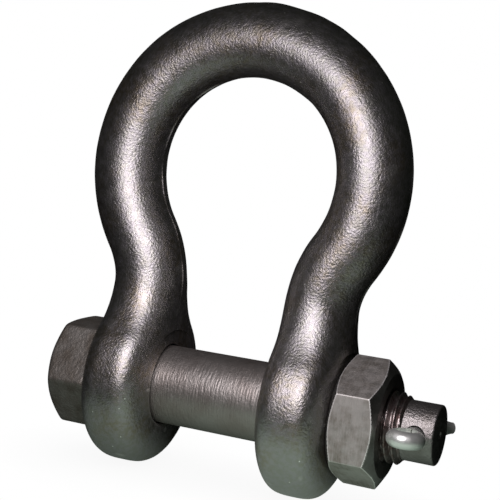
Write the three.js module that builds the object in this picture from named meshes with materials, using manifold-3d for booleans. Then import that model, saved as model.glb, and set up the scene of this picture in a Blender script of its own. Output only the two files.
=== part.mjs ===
// Bow shackle with a bolt, nut and split pin.
//
// Millimetres. Each piece is shaped with x = 0 midway between the two ears, on the bolt's axis. The assembly
// is then moved so that the origin is the middle of the bolt head's end face. +X runs along the bolt from its
// head to its threaded end, and +Z runs up to the crown of the bow.

import * as THREE from "three";
import { ParametricGeometry } from "three/addons/geometries/ParametricGeometry.js";
import { mergeVertices } from "three/addons/utils/BufferGeometryUtils.js";
import Module from "manifold-3d";

const wasm = await Module();
wasm.setup();

// ---- driving dimensions ----

const BOLT_DIAMETER = 42;
const INSIDE_LENGTH = 147.4; // from the bolt's top to the inside of the crown
const BOW_INSIDE_WIDTH = 100.6; // widest inside width of the bow
const BAR_THICKNESS = 38.4; // forged bar at the crown, in the plane of the bow
const BAR_DEPTH = 41.6; // forged bar at the crown, across the plane of the bow
const SHOULDER_RADIUS = 54.8; // reverse curve between the bow and each leg, on the bar's centreline

const EAR_SPACING = 98.8; // between the middles of the two ears
const EAR_DIAMETER = 88.6;
const EAR_THICKNESS = 37;
const EAR_RIM_EXPONENT = 3.6; // 2 is an ellipse, and a larger number is a squarer rim
const EAR_THICKEN_HEIGHT = 104; // above the bolt's axis, where a leg starts to change its thickness
const NECK_RADIUS = 50; // fillet between the ear's disc and the bar, seen from the side

const BORE_DIAMETER = 44;
const BORE_CHAMFER = 1.5;
const JAW_WIDTH = 63.4; // between the machined faces inside the jaw
const JAW_FACE_DIAMETER = 60;
const SEAT_SPACING = 134; // between the machined seats of the head and the nut
const SEAT_DIAMETER = 66;
const SEAT_GAP = 0.3;

const CHAMFER_ANGLE = Math.PI / 6; // of the head's and the nut's ends, from the end's face
const HEAD_HEIGHT = 26.3;
const HEAD_ACROSS_FLATS = 54.6;
const HEAD_ANGLE = 25; // a flat's normal, in degrees up from -Y
const HEAD_END_DIAMETER = 48.4; // the flat circle inside the chamfer
const HEAD_INNER_DIAMETER = 56.8; // the same on the side of the ear
const NUT_HEIGHT = 25;
const NUT_ACROSS_FLATS = 57.8;
const NUT_FACE_DIAMETER = 52.6;
const NUT_MOUTH_DIAMETER = 39.4; // the countersink at each end of the nut's thread

const PITCH = 4;
const THREAD_FLANK_ANGLE = Math.PI / 6;
const THREAD_DIAMETER = 36.2;
const THREAD_CORE_DIAMETER = 30.8;
const THREAD_START_INSET = 1; // from the nut's seat back into the bore, where the plain shank's cone ends
const THREAD_END = 101.6; // where the end's chamfer comes down to the core
const THREAD_CLEARANCE = 0.3; // radial, in the nut
const CREST_WIDTH = 0.5;
const THREAD_ROOT_OVERLAP = 0.15; // how far a ridge's root reaches past the surface that it joins

const TIP_DIAMETER = 30.3;
const TIP_END = 117.8;
const TIP_CHAMFER = 1;
const CENTRE_MARK_DIAMETER = 3.6;

const PIN_HOLE_X = 108.5;
const PIN_HOLE_DIAMETER = 11;
const PIN_DIAMETER = 8.4;
const PIN_LEG_GAP = 0.3; // between the flats of the two half-round legs
const PIN_EYE_DIAMETER = 19;
const PIN_EYE_DISTANCE = 26; // from the bolt's axis to the middle of the eye
const PIN_NECK_RADIUS = 6;
const PIN_BEND_START = 17.5; // from the bolt's axis, on the side away from the eye
const PIN_BEND_RADIUS = 8;
const PIN_LEAN = 3; // degrees that the loose pin leans in its hole, its eye towards the nut
const PIN_LIFT = 1.5; // degrees that the eye is lifted
const LONG_LEG = { bend: 40, end: 8.5 }; // degrees, and straight length after the bend
const SHORT_LEG = { bend: 12, end: 6 };

const FORGED_STEEL = { color: 0x5d5a58, roughness: 0.55, metalness: 0.8 };
const BOLT_STEEL = { color: 0x6a645e, roughness: 0.5, metalness: 0.8 };
const NUT_STEEL = { color: 0x77746e, roughness: 0.45, metalness: 0.85 };
const ZINC_WIRE = { color: 0x9aa29a, roughness: 0.3, metalness: 0.9 };

// ---- mesh fineness ----

const BOW_SLICES = 24; // around the bar
const CROWN_RINGS = 18; // the ring counts are for one half of the bow
const SHOULDER_RINGS = 6;
const LEG_RINGS = 8;
const EAR_RINGS = 7;
const ROUND_SEGMENTS = 48;
const THREAD_SEGMENTS = 24; // in one turn, a divisor of ROUND_SEGMENTS so that their corners line up
const EYE_SEGMENTS = 9; // in half of the eye
const BEND_SEGMENTS = 3;
const PIN_STEPS = 56; // along the whole wire
const PIN_SECTION_SEGMENTS = 6;
const HEXAGON_SIDES = 6;

// ---- solids and cuts ----

const WELD = 1e-4; // points closer than this are one point
const ZERO = 1e-9; // a cosine smaller than this is 0
const CUT_CLEARANCE = 1; // how far a cutting solid reaches past what it cuts
const FACING_CLEARANCE = 12; // the same for the cutters that face the ears

/** A closed geometry as a manifold-3d solid, with its seams welded and its collapsed triangles left out. */
function solid(geometry) {
  const bare = geometry.clone();
  bare.deleteAttribute("normal");
  bare.deleteAttribute("uv");
  const welded = mergeVertices(bare, WELD);
  const index = welded.index.array;
  const corners = [];
  for (let i = 0; i < index.length; i += 3) {
    const [a, b, c] = index.subarray(i, i + 3);
    if (a !== b && b !== c && c !== a) corners.push(a, b, c);
  }
  return new wasm.Manifold(
    new wasm.Mesh({
      numProp: 3,
      vertProperties: welded.attributes.position.array,
      triVerts: Uint32Array.from(corners),
    }),
  );
}

/** A manifold-3d solid as a geometry with flat-shaded faces. */
function surface(manifold) {
  const mesh = manifold.getMesh();
  const geometry = new THREE.BufferGeometry();
  geometry.setAttribute("position", new THREE.BufferAttribute(mesh.vertProperties, 3));
  geometry.setIndex(new THREE.BufferAttribute(mesh.triVerts, 1));
  const flat = geometry.toNonIndexed();
  flat.computeVertexNormals();
  return flat;
}

/** A solid of revolution about X, from an outline of [x, radius] points that runs towards +X. */
function turned(outline, segments = ROUND_SEGMENTS) {
  const points = outline.map(([x, radius]) => new THREE.Vector2(radius, x));
  return solid(new THREE.LatheGeometry(points, segments).rotateZ(-Math.PI / 2));
}

/** A cylinder along Y, through the bolt's axis at the given x. */
function crossDrill(x, diameter, length) {
  const radius = diameter / 2;
  return solid(new THREE.CylinderGeometry(radius, radius, length, ROUND_SEGMENTS).translate(x, 0, 0));
}

/** A hexagonal prism along X whose corners are turned off by a cone at each end. */
function hexagon({ from, height, acrossFlats, angle, startCircle, endCircle }) {
  const cornerRadius = acrossFlats / 2 / Math.cos(Math.PI / HEXAGON_SIDES);
  const prism = new THREE.CylinderGeometry(cornerRadius, cornerRadius, height, HEXAGON_SIDES);
  prism.rotateZ(-Math.PI / 2);
  prism.rotateX(-THREE.MathUtils.degToRad(angle));
  prism.translate(from + height / 2, 0, 0);
  const clear = cornerRadius + CUT_CLEARANCE;
  const slope = Math.tan(CHAMFER_ANGLE);
  const to = from + height;
  const cones = turned([
    [from, 0],
    [from, startCircle / 2],
    [from + (clear - startCircle / 2) * slope, clear],
    [to - (clear - endCircle / 2) * slope, clear],
    [to, endCircle / 2],
    [to, 0],
  ]);
  return solid(prism).intersect(cones);
}

// ---- bow ----

const crownRadius = (BOW_INSIDE_WIDTH + BAR_THICKNESS) / 2;
const crownHeight = INSIDE_LENGTH + BOLT_DIAMETER / 2 - BOW_INSIDE_WIDTH / 2;
const earX = EAR_SPACING / 2;
const earRadius = EAR_DIAMETER / 2;
// The crown's arc and the shoulder's reverse arc touch where both slope at this angle from the vertical.
const shoulderAngle = Math.acos((SHOULDER_RADIUS + earX) / (SHOULDER_RADIUS + crownRadius));
// Seen from the side, the ear's disc and the neck's fillet touch at neckFoot, and the bar begins at neckTop.
const barHalfDepth = BAR_DEPTH / 2;
const neckTop = Math.sqrt((earRadius + NECK_RADIUS) ** 2 - (barHalfDepth + NECK_RADIUS) ** 2);
const neckFoot = (neckTop * earRadius) / (earRadius + NECK_RADIUS);

/** Keeps the sign of a value while raising its size to a power. */
function signedPower(value, power) {
  return Math.sign(value) * Math.abs(value) ** power;
}

/** A point on the bow's centreline on the +X side: its place and the outward direction, in the XZ plane. */
function crownPoint(turn) {
  const outward = new THREE.Vector2(Math.sin(turn), Math.cos(turn));
  const centre = new THREE.Vector2(0, crownHeight).addScaledVector(outward, crownRadius);
  return { centre, outward };
}

function shoulderPoint(angle) {
  const outward = new THREE.Vector2(Math.cos(angle), -Math.sin(angle));
  const pivotX = earX + SHOULDER_RADIUS;
  const pivotZ = crownHeight - (crownRadius + SHOULDER_RADIUS) * Math.sin(shoulderAngle);
  const centre = new THREE.Vector2(pivotX, pivotZ).addScaledVector(
    new THREE.Vector2(-Math.cos(angle), Math.sin(angle)),
    SHOULDER_RADIUS,
  );
  return { centre, outward };
}

/** Half the depth of the bow at a height above the bolt's axis: the ear's disc, its neck, then the bar. */
function halfDepth(z) {
  if (z < neckFoot) return Math.sqrt(earRadius ** 2 - z ** 2);
  if (z < neckTop) return barHalfDepth + NECK_RADIUS - Math.sqrt(NECK_RADIUS ** 2 - (neckTop - z) ** 2);
  return barHalfDepth;
}

/** A ring of the bar: a superellipse that grows from the round bar to the ear's section as it comes down. */
function barRing({ centre, outward }) {
  const depth = halfDepth(centre.y);
  const flare = (depth - barHalfDepth) / (earRadius - barHalfDepth);
  const thicken = 1 - THREE.MathUtils.smoothstep(centre.y, 0, EAR_THICKEN_HEIGHT);
  const thickness = THREE.MathUtils.lerp(BAR_THICKNESS, EAR_THICKNESS, thicken) / 2;
  const power = 2 / THREE.MathUtils.lerp(2, EAR_RIM_EXPONENT, flare);
  return (turn) => {
    const offset = thickness * signedPower(Math.cos(turn), power);
    const y = depth * signedPower(Math.sin(turn), power);
    return new THREE.Vector3(centre.x + offset * outward.x, y, centre.y + offset * outward.y);
  };
}

/** A ring of the ear's lower half, a disc with a rounded rim that closes to a point at the bottom. */
function earRing(drop) {
  const z = -earRadius * Math.sin(drop);
  return (turn) => {
    const y = earRadius * Math.cos(drop) * signedPower(Math.sin(turn), 2 / EAR_RIM_EXPONENT);
    const reach = Math.min(1, Math.hypot(y, z) / earRadius);
    const swell = (1 - reach ** EAR_RIM_EXPONENT) ** (1 / EAR_RIM_EXPONENT);
    const side = Math.abs(Math.cos(turn)) < ZERO ? 0 : Math.sign(Math.cos(turn));
    return new THREE.Vector3(earX + side * swell * (EAR_THICKNESS / 2), y, z);
  };
}

/** Evenly spaced values from a up to, but not including, b. */
function steps(a, b, count) {
  return Array.from({ length: count }, (_, i) => THREE.MathUtils.lerp(a, b, i / count));
}

function halfBowRings() {
  const shoulderZ = shoulderPoint(0).centre.y;
  return [
    ...steps(0, Math.PI / 2 + shoulderAngle, CROWN_RINGS).map((turn) => barRing(crownPoint(turn))),
    ...steps(shoulderAngle, 0, SHOULDER_RINGS).map((angle) => barRing(shoulderPoint(angle))),
    ...steps(shoulderZ, 0, LEG_RINGS).map((z) =>
      barRing({ centre: new THREE.Vector2(earX, z), outward: new THREE.Vector2(1, 0) }),
    ),
    ...steps(0, Math.PI / 2, EAR_RINGS).map(earRing),
    earRing(Math.PI / 2),
  ];
}

function mirrored(ring) {
  return (turn) => ring(turn).multiply(new THREE.Vector3(-1, 1, 1));
}

function bowBlank() {
  const right = halfBowRings();
  const rings = [...right.slice(1).reverse(), ...right.map(mirrored)];
  const place = (u, v, target) => {
    const ring = rings[Math.round(v * (rings.length - 1))];
    target.copy(ring(2 * Math.PI * u));
  };
  return solid(new ParametricGeometry(place, BOW_SLICES, rings.length - 1));
}

/** What is machined away at the +X ear: the jaw face, the chamfered bore and the nut's seat. */
function earCut() {
  const jaw = JAW_WIDTH / 2;
  const seat = SEAT_SPACING / 2;
  const bore = BORE_DIAMETER / 2;
  const mouth = bore + BORE_CHAMFER;
  return turned([
    [jaw - FACING_CLEARANCE, 0],
    [jaw - FACING_CLEARANCE, JAW_FACE_DIAMETER / 2],
    [jaw, JAW_FACE_DIAMETER / 2],
    [jaw, mouth],
    [jaw + BORE_CHAMFER, bore],
    [seat - BORE_CHAMFER, bore],
    [seat, mouth],
    [seat, SEAT_DIAMETER / 2],
    [seat + FACING_CLEARANCE, SEAT_DIAMETER / 2],
    [seat + FACING_CLEARANCE, 0],
  ]);
}

function bow() {
  const cut = earCut();
  return bowBlank().subtract(cut).subtract(cut.rotate([0, 180, 0]));
}

// ---- thread ----

/**
 * A right-handed helical ridge about X that closes to a point at both ends. It runs over whole turns that
 * cover the given stretch with a turn to spare, so the bolt's thread and the nut's bore are in step.
 */
function threadRidge({ start, end, rootRadius, crestRadius, crestWidth }) {
  const from = (Math.floor(start / PITCH) - 1) * PITCH;
  const to = (Math.ceil(end / PITCH) + 1) * PITCH;
  const turns = (to - from) / PITCH;
  const rootWidth = crestWidth + 2 * (crestRadius - rootRadius) * Math.tan(THREAD_FLANK_ANGLE);
  const corners = [
    [rootWidth / 2, rootRadius],
    [crestWidth / 2, crestRadius],
    [-crestWidth / 2, crestRadius],
    [-rootWidth / 2, rootRadius],
  ];
  const place = (u, v, target) => {
    const [offset, radius] = corners[Math.round(u * corners.length) % corners.length];
    const grown = v > 0 && v < 1 ? 1 : 0;
    const x = THREE.MathUtils.lerp(from, to, v);
    const turn = (2 * Math.PI * x) / PITCH;
    const r = THREE.MathUtils.lerp(rootRadius, radius, grown);
    target.set(x + offset * grown, r * Math.cos(turn), r * Math.sin(turn));
  };
  return solid(new ParametricGeometry(place, corners.length, Math.round(turns * THREAD_SEGMENTS)));
}

// ---- bolt ----

const seatX = SEAT_SPACING / 2;
const headEndX = -seatX - SEAT_GAP - HEAD_HEIGHT;
const shankEnd = seatX - THREAD_START_INSET;

function boltHead() {
  return hexagon({
    from: headEndX,
    height: HEAD_HEIGHT,
    acrossFlats: HEAD_ACROSS_FLATS,
    angle: HEAD_ANGLE,
    startCircle: HEAD_END_DIAMETER,
    endCircle: HEAD_INNER_DIAMETER,
  });
}

function boltShank() {
  const shank = BOLT_DIAMETER / 2;
  const core = THREAD_CORE_DIAMETER / 2;
  const tip = TIP_DIAMETER / 2;
  return turned([
    [-seatX - HEAD_HEIGHT / 2, 0],
    [-seatX - HEAD_HEIGHT / 2, shank],
    [shankEnd - (shank - core) / 2, shank],
    [shankEnd, core],
    [THREAD_END, core],
    [THREAD_END + (core - tip), tip],
    [TIP_END - TIP_CHAMFER, tip],
    [TIP_END, tip - TIP_CHAMFER],
    [TIP_END, CENTRE_MARK_DIAMETER / 2],
    [TIP_END - CENTRE_MARK_DIAMETER / 2, 0],
  ]);
}

function boltThread() {
  const crest = THREAD_DIAMETER / 2;
  const core = THREAD_CORE_DIAMETER / 2;
  const ridge = threadRidge({
    start: seatX,
    end: THREAD_END,
    rootRadius: core - THREAD_ROOT_OVERLAP,
    crestRadius: crest,
    crestWidth: CREST_WIDTH,
  });
  const start = shankEnd - PITCH / 4; // inside the shank's cone
  const over = crest + THREAD_CLEARANCE;
  const chamfer = over - core;
  const blank = turned([
    [start, 0],
    [start, core],
    [start + chamfer, over],
    [THREAD_END - chamfer, over],
    [THREAD_END, core],
    [THREAD_END, 0],
  ]);
  return ridge.intersect(blank);
}

function bolt() {
  const drill = crossDrill(PIN_HOLE_X, PIN_HOLE_DIAMETER, TIP_DIAMETER + 2 * CUT_CLEARANCE);
  return boltHead().add(boltShank()).add(boltThread()).subtract(drill);
}

// ---- nut ----

function nut() {
  const start = seatX + SEAT_GAP;
  const end = start + NUT_HEIGHT;
  const blank = hexagon({
    from: start,
    height: NUT_HEIGHT,
    acrossFlats: NUT_ACROSS_FLATS,
    angle: 0,
    startCircle: NUT_FACE_DIAMETER,
    endCircle: NUT_FACE_DIAMETER,
  });
  const hole = THREAD_CORE_DIAMETER / 2 + 2 * THREAD_CLEARANCE;
  const mouth = NUT_MOUTH_DIAMETER / 2;
  const sink = (mouth - hole) * Math.tan(CHAMFER_ANGLE);
  const bore = turned([
    [start - CUT_CLEARANCE, 0],
    [start - CUT_CLEARANCE, mouth],
    [start, mouth],
    [start + sink, hole],
    [end - sink, hole],
    [end, mouth],
    [end + CUT_CLEARANCE, mouth],
    [end + CUT_CLEARANCE, 0],
  ]);
  const groove = threadRidge({
    start,
    end,
    rootRadius: hole - THREAD_ROOT_OVERLAP,
    crestRadius: THREAD_DIAMETER / 2 + THREAD_CLEARANCE,
    crestWidth: CREST_WIDTH + THREAD_CLEARANCE,
  });
  return blank.subtract(bore).subtract(groove);
}

// ---- split pin ----

/** A point at an angle in degrees, from +X towards +Y, round a centre. */
function polar([x, y], radius, degrees) {
  const angle = THREE.MathUtils.degToRad(degrees);
  return new THREE.Vector3(x + radius * Math.cos(angle), y + radius * Math.sin(angle), 0);
}

function arc(centre, radius, fromDegrees, toDegrees, segments) {
  return Array.from({ length: segments + 1 }, (_, i) =>
    polar(centre, radius, THREE.MathUtils.lerp(fromDegrees, toDegrees, i / segments)),
  );
}

/** The inner face of the wire on the +X side, from the end of its leg to the front of the eye. */
function legPath({ bend, end }) {
  const flat = PIN_LEG_GAP / 2;
  const eyeRadius = (PIN_EYE_DIAMETER - PIN_DIAMETER) / 2;
  const reach = PIN_NECK_RADIUS + eyeRadius;
  const neckAngle = Math.asin((PIN_NECK_RADIUS + flat) / reach);
  const neckCentre = [flat + PIN_NECK_RADIUS, reach * Math.cos(neckAngle) - PIN_EYE_DISTANCE];
  const neckTurn = 90 - THREE.MathUtils.radToDeg(neckAngle);
  const bendCentre = [flat + PIN_BEND_RADIUS, PIN_BEND_START];
  const bendArc = arc(bendCentre, PIN_BEND_RADIUS, 180 - bend, 180, BEND_SEGMENTS);
  return [
    bendArc[0].clone().addScaledVector(polar([0, 0], 1, 90 - bend), end),
    ...bendArc,
    ...arc(neckCentre, PIN_NECK_RADIUS, 180, 180 + neckTurn, BEND_SEGMENTS),
    ...arc([0, -PIN_EYE_DISTANCE], eyeRadius, neckTurn, -90, EYE_SEGMENTS).slice(1),
  ];
}

/** Straight pieces joined end to end. */
function polyline(points) {
  const path = new THREE.CurvePath();
  points.slice(1).forEach((point, i) => path.add(new THREE.LineCurve3(points[i], point)));
  return path;
}

/** Half-round wire, bent double round its eye, with its flats facing each other in the legs. */
function splitPin() {
  const mirror = new THREE.Vector3(-1, 1, 1);
  const shortSide = legPath(SHORT_LEG).map((point) => point.multiply(mirror));
  const path = polyline([...legPath(LONG_LEG), ...shortSide.reverse().slice(1)]);
  const section = new THREE.Shape();
  section.absarc(0, 0, PIN_DIAMETER / 2, 0, Math.PI);
  section.closePath();
  const geometry = new THREE.ExtrudeGeometry(section, {
    extrudePath: path,
    steps: PIN_STEPS,
    curveSegments: PIN_SECTION_SEGMENTS,
  });
  return surface(solid(geometry));
}

// ---- assembly ----

function part(name, geometry, look) {
  const mesh = new THREE.Mesh(geometry, new THREE.MeshStandardMaterial(look));
  mesh.name = name;
  return mesh;
}

const cotterPin = part("cotter_pin", splitPin(), ZINC_WIRE);
cotterPin.position.x = PIN_HOLE_X;
cotterPin.rotation.x = -THREE.MathUtils.degToRad(PIN_LIFT);
cotterPin.rotation.z = -THREE.MathUtils.degToRad(PIN_LEAN);

const assembly = new THREE.Group();
assembly.position.x = -headEndX;
assembly.add(
  part("bow", surface(bow()), FORGED_STEEL),
  part("bolt", surface(bolt()), BOLT_STEEL),
  part("nut", surface(nut()), NUT_STEEL),
  cotterPin,
);

const shackle = new THREE.Group();
shackle.add(assembly);

export default shackle;
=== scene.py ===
"""The looks of a bow shackle: forged bow, hex bolt, hex nut and split pin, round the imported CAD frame.

Metres. The origin is the middle of the bolt head's end face, +X runs along the bolt and +Z up to the crown.
"""

import math

import bmesh
import bpy
import numpy as np
from mathutils import Matrix, Vector, noise


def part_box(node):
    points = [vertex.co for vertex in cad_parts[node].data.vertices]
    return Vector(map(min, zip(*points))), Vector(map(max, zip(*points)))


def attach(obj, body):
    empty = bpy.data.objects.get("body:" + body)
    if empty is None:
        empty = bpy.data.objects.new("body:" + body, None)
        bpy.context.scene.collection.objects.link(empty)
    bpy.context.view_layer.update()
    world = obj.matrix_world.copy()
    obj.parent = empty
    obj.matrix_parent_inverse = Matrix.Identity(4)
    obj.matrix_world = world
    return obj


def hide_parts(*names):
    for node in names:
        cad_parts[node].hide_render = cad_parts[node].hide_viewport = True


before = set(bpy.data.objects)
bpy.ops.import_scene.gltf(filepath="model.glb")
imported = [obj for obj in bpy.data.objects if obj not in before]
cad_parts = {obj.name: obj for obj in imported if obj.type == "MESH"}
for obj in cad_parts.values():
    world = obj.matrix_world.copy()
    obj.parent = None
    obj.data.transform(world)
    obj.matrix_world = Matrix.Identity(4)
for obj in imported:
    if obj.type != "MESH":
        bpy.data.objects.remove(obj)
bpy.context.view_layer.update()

MM = 0.001
SIXTH = math.pi / 3
ROUND_SEGMENTS = 288
HEXAGON_CROWDING = 0.85  # share of the evenness that the points round a hexagon give up to its corners
CUTTER_SEGMENTS = 160
WELD = 0.001 * MM
NEAR_AXIS = 0.0001 * MM  # stands for a radius of zero, so that a row keeps all its points

# ---- sizes, from the frame where it shows them ----

bow_low, bow_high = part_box("bow")
bolt_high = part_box("bolt")[1]
nut_low, nut_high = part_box("nut")

BAR_THICKNESS = 38.4 * MM
BAR_DEPTH = 41.6 * MM
BOW_INSIDE_WIDTH = 100.6 * MM
SHOULDER_RADIUS = 54.8 * MM
EAR_SPACING = 98.8 * MM
EAR_THICKNESS = 37 * MM
EAR_RIM_EXPONENT = 3.6
EAR_THICKEN_HEIGHT = 104 * MM
NECK_RADIUS = 50 * MM
EAR_RADIUS = -bow_low.z
MIDDLE_X = (bow_low.x + bow_high.x) / 2

BORE_RADIUS = 22 * MM
BORE_CHAMFER = 1.5 * MM
JAW_WIDTH = 63.4 * MM
JAW_FACE_RADIUS = 30 * MM
SEAT_SPACING = 134 * MM
SEAT_RADIUS = 33 * MM
FACING_CLEARANCE = 12 * MM

END_CHAMFER = math.radians(30)
CHAMFER_SLOPE = math.tan(END_CHAMFER)
SHANK_RADIUS = 21 * MM
HEAD_HEIGHT = 26.3 * MM
HEAD_ACROSS_FLATS = 54.6 * MM
HEAD_FLAT_ANGLE = math.radians(155)  # a flat's direction, from +Y towards +Z
HEAD_END_RADIUS = 24.2 * MM
HEAD_INNER_RADIUS = 28.4 * MM
HEAD_EDGE_RADIUS = 7 * MM
HEAD_SOFTNESS = 0.8 * MM
HEAD_ROWS = 70
SHANK_ROWS = 30
NUT_ACROSS_FLATS = 57.8 * MM
NUT_FLAT_ANGLE = math.pi
NUT_FACE_RADIUS = 26.3 * MM
NUT_MOUTH_RADIUS = 19.7 * MM
NUT_SOFTNESS = 0.2 * MM
NUT_ROWS = 80

PITCH = 4 * MM
THREAD_FLANK_SLOPE = math.tan(math.radians(30))
CREST_RADIUS = 18.1 * MM
CREST_WIDTH = 0.5 * MM
CORE_RADIUS = 15.4 * MM
NUT_HOLE_RADIUS = 16 * MM
NUT_GROOVE_RADIUS = 18.4 * MM
NUT_GROOVE_WIDTH = 0.8 * MM
THREAD_SOFTNESS = 0.12 * MM
THREAD_STEP = PITCH / 20  # distance along the thread between two rows of points
THREAD_START = MIDDLE_X + SEAT_SPACING / 2 - 1 * MM
THREAD_RUN_IN = 2.5 * MM  # how far the thread runs on into the ear's bore, out of sight
SHANK_END = THREAD_START - 3 * MM
THREAD_END = MIDDLE_X + 101.6 * MM
TIP_RADIUS = 15.15 * MM
TIP_EDGE_RADIUS = 1 * MM
TIP_ROWS = 20
MARK_RADIUS = 1.8 * MM
MARK_DEPTH = 3.6 * MM

PIN_X = MIDDLE_X + 108.5 * MM
PIN_HOLE_RADIUS = 5.5 * MM
PIN_RADIUS = 4.2 * MM
PIN_LEG_GAP = 0.3 * MM
WIRE_STEP = 0.5 * MM  # distance between two rows of points where the wire is bent
PIN_TAPER_ROWS = 9  # rows of points over which an end of the wire swells to its full radius
PIN_EYE_RADIUS = 9.5 * MM
PIN_EYE_DISTANCE = 26 * MM
PIN_NECK_RADIUS = 6 * MM
PIN_BEND_START = 17.5 * MM
PIN_BEND_RADIUS = 8 * MM
PIN_LEAN = math.radians(3)
PIN_LIFT = math.radians(1.5)
LONG_LEG = {"bend": math.radians(40), "end": 8.5 * MM}
SHORT_LEG = {"bend": math.radians(12), "end": 6 * MM}

# ---- mesh building ----


def mesh_object(name, vertices, faces, material):
    mesh = bpy.data.meshes.new(name)
    mesh.from_pydata(vertices.tolist(), [], faces)
    mesh.validate()
    mesh.materials.append(material)
    piece = bpy.data.objects.new(name, mesh)
    bpy.context.scene.collection.objects.link(piece)
    return piece


def band_faces(first, second):
    """Quads between two loops of vertex numbers."""
    count = len(first)
    return [(first[i], first[(i + 1) % count], second[(i + 1) % count], second[i]) for i in range(count)]


def lofted(name, rows, material, ring=False):
    """A closed mesh through rows of points, each row a loop. Without ring, a fan fills each end row."""
    count = rows.shape[1]
    numbers = np.arange(rows.shape[0] * count).reshape(rows.shape[0], count).tolist()
    vertices = rows.reshape(-1, 3)
    faces = []
    for first, second in zip(numbers, numbers[1:]):
        faces += band_faces(first, second)
    if ring:
        faces += band_faces(numbers[-1], numbers[0])
    else:
        start, end = len(vertices), len(vertices) + 1
        vertices = np.vstack([vertices, rows[0].mean(0), rows[-1].mean(0)])
        faces += [(start, numbers[0][(i + 1) % count], numbers[0][i]) for i in range(count)]
        faces += [(end, numbers[-1][i], numbers[-1][(i + 1) % count]) for i in range(count)]
    return mesh_object(name, vertices, faces, material)


def face_outwards(piece):
    """Welds vertices that coincide and turns every face outwards."""
    work = bmesh.new()
    work.from_mesh(piece.data)
    bmesh.ops.remove_doubles(work, verts=work.verts, dist=WELD)
    bmesh.ops.dissolve_degenerate(work, edges=work.edges, dist=WELD / 2)
    bmesh.ops.recalc_face_normals(work, faces=work.faces)
    work.to_mesh(piece.data)
    work.free()


def shade(piece, sharp_degrees):
    piece.data.shade_smooth()
    piece.data.set_sharp_from_angle(angle=math.radians(sharp_degrees))


def cut(piece, cutter):
    """Takes the cutter out of the piece and applies the result."""
    modifier = piece.modifiers.new("cut", "BOOLEAN")
    modifier.operation = "DIFFERENCE"
    modifier.solver = "EXACT"
    modifier.object = cutter
    with bpy.context.temp_override(object=piece, active_object=piece, selected_objects=[piece]):
        bpy.ops.object.modifier_apply(modifier="cut")
    bpy.data.objects.remove(cutter)


def round_x(x, radius, turn):
    """Points round the bolt's axis. The turn runs from +Y to +Z, and x and radius may change with it."""
    x = np.broadcast_to(x, turn.shape)
    return np.stack([x, radius * np.cos(turn), radius * np.sin(turn)], axis=-1)


def turned_cutter(outline):
    """A cutting solid turned about the bolt's axis, from (x, radius) points."""
    turn = np.linspace(0, 2 * math.pi, CUTTER_SEGMENTS, endpoint=False)
    rows = np.array([round_x(x, max(radius, NEAR_AXIS), turn) for x, radius in outline])
    cutter = lofted("cutter", rows, bpy.data.materials.new("cutter"))
    face_outwards(cutter)
    return cutter


def smooth_min(first, second, softness):
    """The smaller of two lengths, with the crease between them rounded."""
    return -softness * np.logaddexp(-first / softness, -second / softness)


def hexagon_radius(turn, across_flats, flat_angle, softness):
    """Distance from the axis to the side of a hexagon with rounded corners, in each turn's direction."""
    sector = (turn - flat_angle) % SIXTH
    near = across_flats / 2 / np.cos(sector)
    far = across_flats / 2 / np.cos(SIXTH - sector)
    return smooth_min(near, far, softness)


def hexagon_turns(flat_angle):
    """Turns for a ring of points, crowded at the corners of a hexagon."""
    even = np.linspace(0, 2 * math.pi, ROUND_SEGMENTS, endpoint=False)
    corner = flat_angle + SIXTH / 2
    return corner + even - HEXAGON_CROWDING * np.sin(6 * even) / 6


# ---- bow ----

BOW_SEGMENTS = 256
BOW_CROWDING = 0.4  # share of the evenness that a section's points give up to the trimmed flash line
BOW_STEP = 0.85 * MM
RIDGE_HEIGHT = 0.55 * MM
RIDGE_WIDTH = 0.6 * MM
RIDGE_WORN_AWAY = 38 * MM  # height above the bolt's axis below which nothing is left of the ridge
RIDGE_WHOLE = 60 * MM  # height above which none of it is worn away

crown_radius = (BOW_INSIDE_WIDTH + BAR_THICKNESS) / 2
crown_height = bow_high.z - crown_radius - BAR_THICKNESS / 2
ear_x = EAR_SPACING / 2
shoulder_angle = math.acos((SHOULDER_RADIUS + ear_x) / (SHOULDER_RADIUS + crown_radius))
neck_top = math.sqrt((EAR_RADIUS + NECK_RADIUS) ** 2 - (BAR_DEPTH / 2 + NECK_RADIUS) ** 2)
neck_foot = neck_top * EAR_RADIUS / (EAR_RADIUS + NECK_RADIUS)


def fade(value, zero, one):
    """A smooth step from 0 at zero to 1 at one."""
    t = np.clip((value - zero) / (one - zero), 0, 1)
    return t * t * (3 - 2 * t)


def signed_power(value, power):
    return np.sign(value) * np.abs(value) ** power


def stretch(length):
    """Evenly spaced shares of a stretch of the bow, without its end."""
    return np.linspace(0, 1, max(2, round(length / BOW_STEP)), endpoint=False)


def leg_centreline():
    """Places and outward directions down the +X half of the bow, from the crown to the bolt's height."""
    places = []
    sweep = math.pi / 2 + shoulder_angle
    for share in stretch(crown_radius * sweep):
        outward = Vector((math.sin(share * sweep), math.cos(share * sweep)))
        places.append((outward * crown_radius + Vector((0, crown_height)), outward))
    drop = (crown_radius + SHOULDER_RADIUS) * math.sin(shoulder_angle)
    pivot = Vector((ear_x + SHOULDER_RADIUS, crown_height - drop))
    for share in stretch(SHOULDER_RADIUS * shoulder_angle):
        angle = (1 - share) * shoulder_angle
        outward = Vector((math.cos(angle), -math.sin(angle)))
        places.append((pivot - outward * SHOULDER_RADIUS, outward))
    for share in stretch(pivot.y):
        places.append((Vector((ear_x, pivot.y * (1 - share))), Vector((1, 0))))
    return places


def half_depth(z):
    """Half the bow's depth at a height above the bolt's axis: the ear's disc, its neck, then the bar."""
    if z < neck_foot:
        return math.sqrt(EAR_RADIUS**2 - z**2)
    if z < neck_top:
        return BAR_DEPTH / 2 + NECK_RADIUS - math.sqrt(NECK_RADIUS**2 - (neck_top - z) ** 2)
    return BAR_DEPTH / 2


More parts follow.
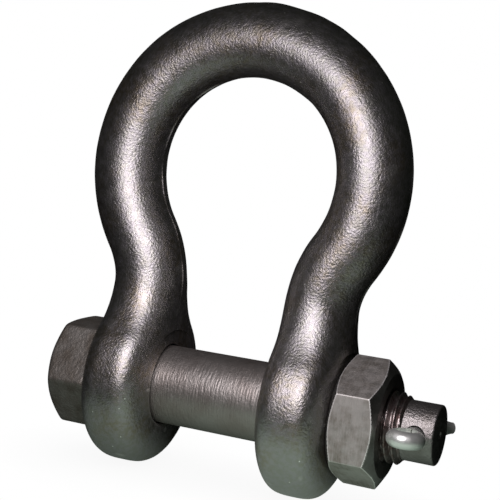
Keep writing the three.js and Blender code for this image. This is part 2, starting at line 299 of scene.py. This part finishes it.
def bar_ring(centre, outward, turn):
    """A section of the bar, which grows from nearly round to the ear's superellipse as it comes down."""
    depth = half_depth(centre.y)
    flare = (depth - BAR_DEPTH / 2) / (EAR_RADIUS - BAR_DEPTH / 2)
    thicken = fade(centre.y, EAR_THICKEN_HEIGHT, 0)
    thickness = (BAR_THICKNESS + (EAR_THICKNESS - BAR_THICKNESS) * thicken) / 2
    power = 2 / (2 + (EAR_RIM_EXPONENT - 2) * flare)
    offset = thickness * signed_power(np.cos(turn), power)
    y = depth * signed_power(np.sin(turn), power)
    return np.stack([centre.x + offset * outward.x, y, centre.y + offset * outward.y], axis=-1)


def ear_ring(drop, turn):
    """A section of the ear's lower half, a disc with a rounded rim."""
    z = -EAR_RADIUS * math.sin(drop)
    y = EAR_RADIUS * math.cos(drop) * signed_power(np.sin(turn), 2 / EAR_RIM_EXPONENT)
    reach = np.minimum(1, np.hypot(y, z) / EAR_RADIUS)
    swell = (1 - reach**EAR_RIM_EXPONENT) ** (1 / EAR_RIM_EXPONENT)
    x = ear_x + np.sign(np.round(np.cos(turn), 9)) * swell * EAR_THICKNESS / 2
    return np.stack([x, y, np.full_like(y, z)], axis=-1)


def bow_rows():
    """Sections down the +X half of the bow and, mirrored, the other half, from ear to ear."""
    even = np.linspace(0, 2 * math.pi, BOW_SEGMENTS, endpoint=False)
    turn = even - BOW_CROWDING * np.sin(2 * even)
    rows = [bar_ring(centre, outward, turn) for centre, outward in leg_centreline()]
    drops = stretch(EAR_RADIUS * math.pi / 2) * math.pi / 2
    rows += [ear_ring(drop, turn) for drop in drops]
    half = np.array(rows)
    other = half[1:][::-1] * np.array([-1, 1, 1])
    whole = np.concatenate([other, half])
    return whole + np.array([MIDDLE_X, 0, 0])


def unevenness(point, scale, seed):
    """Smooth noise between about -1 and 1 whose features are about scale across."""
    return noise.noise(Vector(point) / scale + Vector((seed, 2 * seed, 3 * seed)))


def forge(piece):
    """Works the forged skin: slow waves from the dies, small dents, pits and the ridge of trimmed flash."""
    mesh = piece.data
    count = len(mesh.vertices)
    places = np.empty(count * 3, np.float32)
    mesh.vertices.foreach_get("co", places)
    places = places.reshape(-1, 3).astype(float)
    normals = np.empty(count * 3, np.float32)
    mesh.vertex_normals.foreach_get("vector", normals)
    normals = normals.reshape(-1, 3)
    lift = [forged_lift(place, normal) for place, normal in zip(places, normals)]
    places += normals * np.array(lift)[:, None]
    mesh.vertices.foreach_set("co", places.astype(np.float32).ravel())
    mesh.update()


def forged_lift(place, normal):
    """How far the forged skin stands above or below its ideal shape at one point."""
    wave = 0.16 * MM * unevenness(place, 26 * MM, seed=3.1)
    dent = 0.07 * MM * unevenness(place, 7 * MM, seed=7.7)
    pit = 0.22 * MM * max(0.0, unevenness(place, 3.2 * MM, seed=11.3) - 0.62)
    return wave + dent - pit + ridge_height(place, normal)


def ridge_height(place, normal):
    """The trimmed flash: a low, broken ridge in the bow's mid-plane, worn away towards the ears."""
    on_front_or_back = abs(normal[1]) >= 0.7
    if on_front_or_back:
        return 0.0
    wander = 0.3 * MM * unevenness(place, 30 * MM, seed=17.9)
    broken = max(0.0, 0.75 + 0.9 * unevenness(place, 14 * MM, seed=5.9))
    left = fade(place[2], RIDGE_WORN_AWAY, RIDGE_WHOLE)
    across = (place[1] - wander) / RIDGE_WIDTH
    return RIDGE_HEIGHT * left * broken * math.exp(-(across**2))


def ear_cutter(side):
    """What is machined away at one ear: the jaw face, the chamfered bore and the seat."""
    jaw = JAW_WIDTH / 2
    seat = SEAT_SPACING / 2
    mouth = BORE_RADIUS + BORE_CHAMFER
    outline = [
        (jaw - FACING_CLEARANCE, 0),
        (jaw - FACING_CLEARANCE, JAW_FACE_RADIUS),
        (jaw, JAW_FACE_RADIUS),
        (jaw, mouth),
        (jaw + BORE_CHAMFER, BORE_RADIUS),
        (seat - BORE_CHAMFER, BORE_RADIUS),
        (seat, mouth),
        (seat, SEAT_RADIUS),
        (seat + FACING_CLEARANCE, SEAT_RADIUS),
        (seat + FACING_CLEARANCE, 0),
    ]
    return turned_cutter([(MIDDLE_X + side * x, radius) for x, radius in outline])


def build_bow():
    piece = lofted("bow_forging", bow_rows(), forged_steel())
    face_outwards(piece)
    forge(piece)
    for side in (-1, 1):
        cut(piece, ear_cutter(side))
    shade(piece, 35)
    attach(piece, "bow")
    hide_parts("bow")


# ---- bolt and nut ----


def thread_profile(x, turn, root_radius, crest_radius, crest_width):
    """Radius of a right-handed thread about X whose ridge passes +Y where x is MIDDLE_X."""
    place = ((x - MIDDLE_X) / PITCH - turn / (2 * math.pi) + 0.5) % 1 - 0.5
    run = np.abs(place) * PITCH
    flank = crest_radius - (run - crest_width / 2) / THREAD_FLANK_SLOPE
    ridge = smooth_min(np.full_like(run, crest_radius), flank, THREAD_SOFTNESS)
    return np.maximum(ridge, root_radius)


def head_radius(x, turn):
    """The forged head's side, with the cones that take off its corners at both ends."""
    sides = hexagon_radius(turn, HEAD_ACROSS_FLATS, HEAD_FLAT_ANGLE, HEAD_SOFTNESS)
    outer = HEAD_END_RADIUS + x / CHAMFER_SLOPE
    inner = HEAD_INNER_RADIUS + (HEAD_HEIGHT - x) / CHAMFER_SLOPE
    return smooth_min(sides, np.full_like(sides, min(outer, inner)), HEAD_SOFTNESS)


def head_rows(turn):
    """From the middle of the end face, over its rounded edge, along the sides and down to the shank."""
    tangent = HEAD_EDGE_RADIUS * math.tan(END_CHAMFER / 2)
    flat = HEAD_END_RADIUS - tangent
    rows = [round_x(0, share * flat, turn) for share in (0.01, 0.4, 0.7, 0.9)]
    for angle in np.linspace(0, END_CHAMFER, 8):
        x = HEAD_EDGE_RADIUS * (1 - math.cos(angle))
        rows.append(round_x(x, flat + HEAD_EDGE_RADIUS * math.sin(angle), turn))
    first = HEAD_EDGE_RADIUS * (1 - math.cos(END_CHAMFER))
    rows += [round_x(x, head_radius(x, turn), turn) for x in np.linspace(first, HEAD_HEIGHT, HEAD_ROWS)[1:]]
    return rows


def shank_rows(turn):
    """The plain shank. A short cone joins its last row to the thread's first."""
    return [round_x(x, SHANK_RADIUS, turn) for x in np.linspace(HEAD_HEIGHT, SHANK_END, SHANK_ROWS)]


def thread_rows(turn):
    """The thread, from inside the ear's bore to the chamfer at its end."""
    rows = []
    for x in np.arange(THREAD_START - THREAD_RUN_IN, THREAD_END, THREAD_STEP):
        ridge = thread_profile(x, turn, CORE_RADIUS, CREST_RADIUS, CREST_WIDTH)
        chamfer = CORE_RADIUS + THREAD_END - x
        rows.append(round_x(x, np.minimum(ridge, chamfer), turn))
    return rows


def tip_rows(turn):
    """The plain tip, its rounded edge and the centre mark in its end, with a chamfered mouth and a cone."""
    end = bolt_high.x
    edge = end - TIP_EDGE_RADIUS
    rows = [round_x(x, TIP_RADIUS, turn) for x in np.linspace(THREAD_END, edge, TIP_ROWS)]
    for angle in np.linspace(0, math.pi / 2, 6)[1:]:
        radius = TIP_RADIUS - TIP_EDGE_RADIUS * (1 - math.cos(angle))
        rows.append(round_x(edge + TIP_EDGE_RADIUS * math.sin(angle), radius, turn))
    rows += [round_x(end, radius, turn) for radius in (TIP_RADIUS / 2, 1.1 * MARK_RADIUS)]
    rows.append(round_x(end - 0.1 * MARK_DEPTH, MARK_RADIUS, turn))
    rows.append(round_x(end - 0.7 * MARK_DEPTH, MARK_RADIUS, turn))
    rows.append(round_x(end - MARK_DEPTH, 0.02 * MARK_RADIUS, turn))
    return rows


def cross_cutter():
    """A drill through the bolt's tip along Y."""
    reach = 1.4 * TIP_RADIUS
    outline = [(-reach, 0), (-reach, PIN_HOLE_RADIUS), (reach, PIN_HOLE_RADIUS), (reach, 0)]
    cutter = turned_cutter(outline)
    cutter.data.transform(Matrix.Translation((PIN_X, 0, 0)) @ Matrix.Rotation(math.pi / 2, 4, "Z"))
    return cutter


HEAD, SHANK, THREAD, TIP = range(4)  # the bolt's materials, in the order of its material slots


def bolt_material(centre):
    """Which of the bolt's materials a face takes. The centre mark takes the thread's darker material, a
    painted shade in its recess.
    """
    in_mark = centre.x > bolt_high.x - MARK_DEPTH and centre.yz.length < MARK_RADIUS
    # painted shade: the centre mark's recess is given the thread's darker material
    if in_mark:
        return THREAD
    for material, end in ((HEAD, HEAD_HEIGHT), (SHANK, THREAD_START), (THREAD, THREAD_END)):
        if centre.x <= end:
            return material
    return TIP


def build_bolt():
    turn = hexagon_turns(HEAD_FLAT_ANGLE)
    rows = head_rows(turn) + shank_rows(turn) + thread_rows(turn) + tip_rows(turn)
    piece = lofted("bolt_turned", np.array(rows), forged_head_steel())
    face_outwards(piece)
    cut(piece, cross_cutter())
    for material in (turned_steel(), thread_steel(), tip_steel()):
        piece.data.materials.append(material)
    for face in piece.data.polygons:
        face.material_index = bolt_material(face.center)
    shade(piece, 30)
    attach(piece, "bolt")
    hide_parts("bolt")


def nut_radius(x, turn):
    """The nut's side, with the cones that take off its corners at both ends."""
    sides = hexagon_radius(turn, NUT_ACROSS_FLATS, NUT_FLAT_ANGLE, NUT_SOFTNESS)
    cone = NUT_FACE_RADIUS + min(x - nut_low.x, nut_high.x - x) / CHAMFER_SLOPE
    return smooth_min(sides, np.full_like(sides, cone), NUT_SOFTNESS)


def nut_rows(turn):
    """Along the nut's sides, then back through its thread."""
    start, end = nut_low.x, nut_high.x
    half_face = (NUT_FACE_RADIUS + NUT_MOUTH_RADIUS) / 2
    rows = [round_x(x, nut_radius(x, turn), turn) for x in np.linspace(start, end, NUT_ROWS)]
    rows += [round_x(end, radius, turn) for radius in (half_face, NUT_MOUTH_RADIUS)]
    for x in np.arange(end - THREAD_STEP / 2, start, -THREAD_STEP):
        bore = thread_profile(x, turn, NUT_HOLE_RADIUS, NUT_GROOVE_RADIUS, NUT_GROOVE_WIDTH)
        countersink = NUT_MOUTH_RADIUS - min(end - x, x - start) / CHAMFER_SLOPE
        rows.append(round_x(x, np.maximum(bore, countersink), turn))
    rows += [round_x(start, radius, turn) for radius in (NUT_MOUTH_RADIUS, half_face)]
    return np.array(rows)


FLATS, TURNED = range(2)  # the nut's materials, in the order of its material slots


def nut_material(face):
    """Which of the nut's materials a face takes. The flats are outside the thread and face sideways."""
    outside = face.center.yz.length > NUT_FACE_RADIUS - 1 * MM
    sideways = abs(face.normal.x) < 0.6
    return FLATS if outside and sideways else TURNED


def build_nut():
    turn = hexagon_turns(NUT_FLAT_ANGLE)
    piece = lofted("nut_machined", nut_rows(turn), nut_flat_steel(), ring=True)
    face_outwards(piece)
    piece.data.materials.append(nut_turned_steel())
    for face in piece.data.polygons:
        face.material_index = nut_material(face)
    shade(piece, 30)
    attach(piece, "nut")
    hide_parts("nut")


# ---- split pin ----


def polar(centre, radius, angle):
    return Vector(centre) + radius * Vector((math.cos(angle), math.sin(angle)))


def arc(centre, radius, start, end):
    count = max(3, round(abs(end - start) * radius / WIRE_STEP))
    return [polar(centre, radius, start + (end - start) * i / count) for i in range(count + 1)]


def leg_path(leg):
    """The wire's inner face on the +X side, from the end of its leg to the front of the eye."""
    flat = PIN_LEG_GAP / 2
    eye = PIN_EYE_RADIUS - PIN_RADIUS
    reach = PIN_NECK_RADIUS + eye
    neck = math.asin((PIN_NECK_RADIUS + flat) / reach)
    neck_centre = (flat + PIN_NECK_RADIUS, reach * math.cos(neck) - PIN_EYE_DISTANCE)
    neck_turn = math.pi / 2 - neck
    bend_centre = (flat + PIN_BEND_RADIUS, PIN_BEND_START)
    bend = arc(bend_centre, PIN_BEND_RADIUS, math.pi - leg["bend"], math.pi)
    end = bend[0] + polar((0, 0), leg["end"], math.pi / 2 - leg["bend"])
    straight = [bend[-1].lerp(Vector((flat, neck_centre[1])), share) for share in np.linspace(0, 1, 30)]
    tail = [end.lerp(bend[0], share) for share in np.linspace(0, 1, 12)]
    neck_arc = arc(neck_centre, PIN_NECK_RADIUS, math.pi, math.pi + neck_turn)
    eye_arc = arc((0, -PIN_EYE_DISTANCE), eye, neck_turn, -math.pi / 2)
    return tail[:-1] + bend[:-1] + straight[:-1] + neck_arc[:-1] + eye_arc


def wire_rows():
    """Half-round sections along the wire, with its flat towards the other leg and both ends tapered.

    Both legs' paths end in the same point at the front of the eye, which the second leg leaves out.
    """
    second_leg = [Vector((-p.x, p.y)) for p in leg_path(SHORT_LEG)[-2::-1]]
    path = np.array([tuple(p) for p in leg_path(LONG_LEG) + second_leg])
    along = np.gradient(path, axis=0)
    along /= np.linalg.norm(along, axis=1)[:, None]
    outward = np.stack([-along[:, 1], along[:, 0]], axis=1)
    section = [(math.sin(t), math.cos(t)) for t in np.linspace(0, math.pi, 18)]
    section += [(0, z) for z in np.linspace(-1, 1, 10)[1:-1]]
    from_start = np.arange(len(path))
    from_end = np.minimum(from_start, from_start[::-1])
    radii = PIN_RADIUS * (0.7 + 0.3 * fade(from_end, 0, PIN_TAPER_ROWS))
    rows = []
    for place, side, radius in zip(path, outward, radii):
        rows.append([(*(place + side * out * radius), z * radius) for out, z in section])
    return np.array(rows)


def build_split_pin():
    piece = lofted("split_pin", wire_rows(), zinc_wire())
    leaning = Matrix.Rotation(-PIN_LIFT, 4, "X") @ Matrix.Rotation(-PIN_LEAN, 4, "Z")
    piece.data.transform(Matrix.Translation((PIN_X, 0, 0)) @ leaning)
    face_outwards(piece)
    shade(piece, 40)
    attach(piece, "cotter_pin")
    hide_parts("cotter_pin")


# ---- materials ----


class Nodes:
    """A material's node tree, with short calls for the nodes that the metals share."""

    def __init__(self, name):
        self.material = bpy.data.materials.new(name)
        self.material.use_nodes = True
        self.tree = self.material.node_tree
        self.metal = self.tree.nodes["Principled BSDF"]
        self.place = self.tree.nodes.new("ShaderNodeTexCoord").outputs["Object"]

    def link(self, source, target):
        self.tree.links.new(source, target)

    def noise(self, scale, detail, roughness=0.5, stretch=None):
        node = self.tree.nodes.new("ShaderNodeTexNoise")
        node.inputs["Scale"].default_value = scale
        node.inputs["Detail"].default_value = detail
        node.inputs["Roughness"].default_value = roughness
        self.link(self.stretched(stretch) if stretch else self.place, node.inputs["Vector"])
        return node.outputs["Fac"]

    def cells(self, scale):
        node = self.tree.nodes.new("ShaderNodeTexVoronoi")
        node.inputs["Scale"].default_value = scale
        self.link(self.place, node.inputs["Vector"])
        return node.outputs["Distance"]

    def stretched(self, factors):
        node = self.tree.nodes.new("ShaderNodeVectorMath")
        node.operation = "MULTIPLY"
        node.inputs[1].default_value = factors
        self.link(self.place, node.inputs[0])
        return node.outputs[0]

    def pointiness(self):
        return self.tree.nodes.new("ShaderNodeNewGeometry").outputs["Pointiness"]

    def remap(self, value, low, high, to_low, to_high):
        node = self.tree.nodes.new("ShaderNodeMapRange")
        for name, number in zip(("From Min", "From Max", "To Min", "To Max"), (low, high, to_low, to_high)):
            node.inputs[name].default_value = number
        self.link(value, node.inputs["Value"])
        return node.outputs["Result"]

    def mix(self, share, first, second):
        node = self.tree.nodes.new("ShaderNodeMix")
        node.data_type = "RGBA"
        for socket, colour in ((node.inputs["A"], first), (node.inputs["B"], second)):
            if isinstance(colour, tuple):
                socket.default_value = (*colour, 1)
            else:
                self.link(colour, socket)
        self.link(share, node.inputs["Factor"])
        return node.outputs["Result"]

    def bump(self, height, distance, after=None):
        node = self.tree.nodes.new("ShaderNodeBump")
        node.inputs["Distance"].default_value = distance
        self.link(height, node.inputs["Height"])
        if after:
            self.link(after, node.inputs["Normal"])
        return node.outputs["Normal"]

    def finish(self, colour, roughness, normal, metallic):
        self.metal.inputs["Metallic"].default_value = metallic
        self.link(colour, self.metal.inputs["Base Color"])
        self.link(roughness, self.metal.inputs["Roughness"])
        self.link(normal, self.metal.inputs["Normal"])
        return self.material


def forged_steel():
    """Dark forged steel with a fine blasted grain, brown patches, pale scuffs, a few bright specks and a
    painted highlight along its sharp edges.
    """
    nodes = Nodes("forged_steel")
    patches = nodes.remap(nodes.noise(38, 5, 0.6), 0.45, 0.7, 0, 1)
    colour = nodes.mix(patches, (0.34, 0.335, 0.31), (0.305, 0.26, 0.195))
    hues = nodes.remap(nodes.noise(420, 2), 0.4, 0.6, 0, 0.6)
    colour = nodes.mix(hues, colour, (0.4, 0.38, 0.4))
    scuffs = nodes.remap(nodes.noise(90, 2, 0.4), 0.68, 0.76, 0, 0.6)
    colour = nodes.mix(scuffs, colour, (0.62, 0.60, 0.58))
    specks = nodes.remap(nodes.cells(130), 0.06, 0.045, 0, 1)
    colour = nodes.mix(specks, colour, (0.95, 0.95, 0.9))
    # painted highlight: pointiness lightens the convex edges and the trimmed flash, standing for light
    # caught on them
    edges = nodes.remap(nodes.pointiness(), 0.53, 0.6, 0, 0.8)
    colour = nodes.mix(edges, colour, (0.8, 0.78, 0.76))
    roughness = nodes.remap(nodes.noise(210, 4), 0.3, 0.7, 0.34, 0.45)
    grain = nodes.bump(nodes.noise(820, 3, 0.5), 0.26 * MM)
    fine = nodes.bump(nodes.noise(1500, 2), 0.10 * MM, after=grain)
    return nodes.finish(colour, roughness, fine, metallic=0.96)


def forged_head_steel():
    """The bolt's forged head: browner and duller than the bow."""
    nodes = Nodes("forged_head_steel")
    patches = nodes.remap(nodes.noise(75, 5, 0.65), 0.42, 0.62, 0, 1)
    colour = nodes.mix(patches, (0.28, 0.265, 0.24), (0.17, 0.15, 0.125))
    roughness = nodes.remap(nodes.noise(300, 3), 0.3, 0.7, 0.5, 0.62)
    grain = nodes.bump(nodes.noise(520, 4, 0.6), 0.45 * MM)
    return nodes.finish(colour, roughness, grain, metallic=0.85)


def turned_steel():
    """The bolt's shank, with the fine rings that turning leaves."""
    nodes = Nodes("turned_steel")
    patches = nodes.remap(nodes.noise(60, 4, 0.6), 0.4, 0.7, 0, 1)
    colour = nodes.mix(patches, (0.33, 0.31, 0.29), (0.28, 0.25, 0.23))
    roughness = nodes.remap(nodes.noise(300, 3), 0.3, 0.7, 0.42, 0.50)
    rings = nodes.bump(nodes.noise(1.0, 2, 0.6, stretch=(950, 160, 160)), 0.30 * MM)
    grain = nodes.bump(nodes.noise(800, 3), 0.15 * MM, after=rings)
    return nodes.finish(colour, roughness, grain, metallic=0.88)


def thread_steel():
    """The thread, dark and reddish where oil and dust stay in it."""
    nodes = Nodes("thread_steel")
    oil = nodes.remap(nodes.noise(240, 4, 0.6), 0.4, 0.62, 0, 1)
    colour = nodes.mix(oil, (0.34, 0.31, 0.30), (0.20, 0.145, 0.135))
    roughness = nodes.remap(nodes.noise(500, 3), 0.3, 0.7, 0.25, 0.4)
    normal = nodes.bump(nodes.noise(900, 2), 0.1 * MM)
    return nodes.finish(colour, roughness, normal, metallic=0.95)


def tip_steel():
    """The satin tip, which the split pin goes through."""
    nodes = Nodes("tip_steel")
    patches = nodes.remap(nodes.noise(120, 4, 0.6), 0.4, 0.7, 0, 1)
    colour = nodes.mix(patches, (0.31, 0.295, 0.285), (0.23, 0.215, 0.2))
    roughness = nodes.remap(nodes.noise(300, 3), 0.3, 0.7, 0.34, 0.46)
    grain = nodes.bump(nodes.noise(850, 3, 0.6), 0.45 * MM)
    return nodes.finish(colour, roughness, grain, metallic=0.92)


def nut_flat_steel():
    """The nut's flats: satin, streaked and faintly brown, and pale along the edges, partly worn steel and
    partly a painted highlight.
    """
    nodes = Nodes("nut_flat_steel")
    patches = nodes.remap(nodes.noise(110, 5, 0.65), 0.42, 0.62, 0, 1)
    colour = nodes.mix(patches, (0.44, 0.425, 0.395), (0.27, 0.25, 0.215))
    streaks = nodes.remap(nodes.noise(1.0, 4, 0.7, stretch=(1500, 120, 120)), 0.4, 0.65, 0, 0.5)
    colour = nodes.mix(streaks, colour, (0.52, 0.49, 0.47))
    # partly painted highlight: pointiness lightens the sharp edges, standing for worn steel and for light
    # caught on them
    edges = nodes.remap(nodes.pointiness(), 0.505, 0.53, 0, 0.9)
    colour = nodes.mix(edges, colour, (0.95, 0.94, 0.91))
    roughness = nodes.remap(nodes.noise(300, 3), 0.3, 0.7, 0.5, 0.66)
    lines = nodes.bump(nodes.noise(1.0, 3, 0.6, stretch=(1100, 1100, 90)), 0.16 * MM)
    return nodes.finish(colour, roughness, lines, metallic=0.9)


def nut_turned_steel():
    """The nut's turned ends and its thread, smoother than the flats and darker, the darker colour a painted
    shade on faces turned from the light.
    """
    nodes = Nodes("nut_turned_steel")
    patches = nodes.remap(nodes.noise(110, 4, 0.6), 0.35, 0.7, 0, 1)
    # partly painted shade: the darker colour stands for shade on the ends and in the thread, the lower
    # roughness is the real turned finish
    colour = nodes.mix(patches, (0.3, 0.3, 0.285), (0.22, 0.21, 0.195))
    roughness = nodes.remap(nodes.noise(260, 3), 0.3, 0.7, 0.36, 0.46)
    normal = nodes.bump(nodes.noise(700, 3), 0.12 * MM)
    return nodes.finish(colour, roughness, normal, metallic=0.96)


def zinc_wire():
    """Bright zinc-plated wire."""
    nodes = Nodes("zinc_wire")
    patches = nodes.remap(nodes.noise(150, 4, 0.6), 0.4, 0.7, 0, 1)
    colour = nodes.mix(patches, (0.88, 0.9, 0.86), (0.72, 0.76, 0.71))
    roughness = nodes.remap(nodes.noise(400, 3), 0.3, 0.7, 0.34, 0.46)
    normal = nodes.bump(nodes.noise(500, 3), 0.12 * MM)
    return nodes.finish(colour, roughness, normal, metallic=0.75)


# ---- stage, light and camera ----

WHITE = (1, 1, 1, 1)
ROOM_COLOUR = (0.005, 0.007, 0.005, 1)
BOUNCE_COLOUR = (0.44, 0.53, 0.46, 1)
FLOOR_HALF_WIDTH = 3
CONTACT_REACH = 50 * MM
CONTACT_GREY = 0.92
POOL_CENTRE = (MIDDLE_X + 75 * MM, -75 * MM, bow_low.z)
POOL_SCALE = (1 / 0.3, 1 / 0.14, 1)  # how fast the pool fades along X and Y, from its radii in metres
FLASH_PLACE = Vector((MIDDLE_X + 50 * MM, -252 * MM, 172 * MM))
FLASH_SIZE = 0.22  # metres, as FLASH_REACH is
FLASH_REACH = 0.26
FLASH_POWER = 0.64
FLASH_COLOUR = (1, 0.93, 0.985)
CAMERA_AZIMUTH = math.radians(22.55)
CAMERA_ELEVATION = math.radians(3.36)
CAMERA_ROLL = math.radians(6.35)
CAMERA_DISTANCE = 0.5976
CAMERA_LENS = 81.9
CAMERA_SENSOR = 36
CAMERA_AIM = Vector((MIDDLE_X + 6.27 * MM, 0, 78.1 * MM))


def toward(azimuth, elevation):
    """The direction from the object towards a viewer."""
    flat = math.cos(elevation)
    return Vector((math.sin(azimuth) * flat, -math.cos(azimuth) * flat, math.sin(elevation)))


def build_camera():
    data = bpy.data.cameras.new("camera")
    data.lens = CAMERA_LENS
    data.sensor_width = CAMERA_SENSOR
    camera = bpy.data.objects.new("camera", data)
    back = toward(CAMERA_AZIMUTH, CAMERA_ELEVATION)
    turn = (-back).to_track_quat("-Z", "Y").to_matrix().to_4x4()
    turn = turn @ Matrix.Rotation(CAMERA_ROLL, 4, "Z")
    camera.matrix_world = Matrix.Translation(CAMERA_AIM + back * CAMERA_DISTANCE) @ turn
    bpy.context.scene.collection.objects.link(camera)
    bpy.context.scene.camera = camera
    return camera


def build_flash(camera):
    """A soft light close to the object. It rides with the camera, so every side is lit when seen.

    Its falloff is constant: a view from further away is as bright as one from FLASH_REACH metres.
    """
    data = bpy.data.lights.new("flash", "AREA")
    data.shape = "DISK"
    data.size = FLASH_SIZE
    data.energy = FLASH_POWER
    data.color = FLASH_COLOUR
    data.use_nodes = True
    tree = data.node_tree
    falloff = tree.nodes.new("ShaderNodeLightFalloff")
    falloff.inputs["Strength"].default_value = 1 / FLASH_REACH**2
    tree.links.new(falloff.outputs["Constant"], tree.nodes["Emission"].inputs["Strength"])
    light = bpy.data.objects.new("flash", data)
    light.parent = camera
    light.matrix_parent_inverse = camera.matrix_basis.inverted()
    turn = (FLASH_PLACE - CAMERA_AIM).to_track_quat("Z", "Y").to_matrix().to_4x4()
    light.matrix_basis = Matrix.Translation(FLASH_PLACE) @ turn
    light.visible_camera = False
    bpy.context.scene.collection.objects.link(light)


def build_world():
    """White behind the object, and a dark room in its reflections."""
    world = bpy.data.worlds.new("studio")
    world.use_nodes = True
    tree = world.node_tree
    tree.nodes.clear()
    output = tree.nodes.new("ShaderNodeOutputWorld")
    seen = tree.nodes.new("ShaderNodeBackground")
    seen.inputs["Color"].default_value = WHITE
    room = tree.nodes.new("ShaderNodeBackground")
    room.inputs["Color"].default_value = ROOM_COLOUR
    path = tree.nodes.new("ShaderNodeLightPath")
    mix = tree.nodes.new("ShaderNodeMixShader")
    tree.links.new(path.outputs["Is Camera Ray"], mix.inputs["Fac"])
    tree.links.new(room.outputs["Background"], mix.inputs[1])
    tree.links.new(seen.outputs["Background"], mix.inputs[2])
    tree.links.new(mix.outputs["Shader"], output.inputs["Surface"])
    bpy.context.scene.world = world


def contact_shade(tree):
    """Brightness of the floor as the camera sees it: white, and slightly grey under the object."""
    corner = tree.nodes.new("ShaderNodeAmbientOcclusion")
    corner.inputs["Distance"].default_value = CONTACT_REACH
    shade = tree.nodes.new("ShaderNodeMapRange")
    shade.inputs["To Min"].default_value = CONTACT_GREY
    shade.inputs["To Max"].default_value = 1.0
    tree.links.new(corner.outputs["AO"], shade.inputs["Value"])
    return shade.outputs["Result"]


def pool_of_light(tree):
    """Brightness of the floor in reflections: a soft pool that fades away from the object."""
    place = tree.nodes.new("ShaderNodeTexCoord")
    away = tree.nodes.new("ShaderNodeVectorMath")
    away.operation = "SUBTRACT"
    away.inputs[1].default_value = POOL_CENTRE
    tree.links.new(place.outputs["Object"], away.inputs[0])
    scaled = tree.nodes.new("ShaderNodeVectorMath")
    scaled.operation = "MULTIPLY"
    scaled.inputs[1].default_value = POOL_SCALE
    tree.links.new(away.outputs["Vector"], scaled.inputs[0])
    reach = tree.nodes.new("ShaderNodeVectorMath")
    reach.operation = "LENGTH"
    tree.links.new(scaled.outputs["Vector"], reach.inputs[0])
    pool = tree.nodes.new("ShaderNodeMapRange")
    pool.interpolation_type = "SMOOTHERSTEP"
    pool.inputs["To Min"].default_value = 1
    pool.inputs["To Max"].default_value = 0
    tree.links.new(reach.outputs["Value"], pool.inputs["Value"])
    return pool.outputs["Result"]


def floor_material():
    material = bpy.data.materials.new("floor")
    material.use_nodes = True
    tree = material.node_tree
    tree.nodes.clear()
    seen = tree.nodes.new("ShaderNodeEmission")
    seen.inputs["Color"].default_value = WHITE
    tree.links.new(contact_shade(tree), seen.inputs["Strength"])
    bounce = tree.nodes.new("ShaderNodeEmission")
    bounce.inputs["Color"].default_value = BOUNCE_COLOUR
    tree.links.new(pool_of_light(tree), bounce.inputs["Strength"])
    path = tree.nodes.new("ShaderNodeLightPath")
    mix = tree.nodes.new("ShaderNodeMixShader")
    output = tree.nodes.new("ShaderNodeOutputMaterial")
    tree.links.new(path.outputs["Is Camera Ray"], mix.inputs["Fac"])
    tree.links.new(bounce.outputs["Emission"], mix.inputs[1])
    tree.links.new(seen.outputs["Emission"], mix.inputs[2])
    tree.links.new(mix.outputs["Shader"], output.inputs["Surface"])
    return material


def build_floor():
    half = FLOOR_HALF_WIDTH
    z = bow_low.z
    corners = np.array([(-half, -half, z), (half, -half, z), (half, half, z), (-half, half, z)])
    floor = mesh_object("floor", corners, [(0, 1, 2, 3)], floor_material())


build_bow()
build_bolt()
build_nut()
build_split_pin()
build_world()
build_floor()
build_flash(build_camera())
bpy.context.scene.view_settings.view_transform = "Standard"
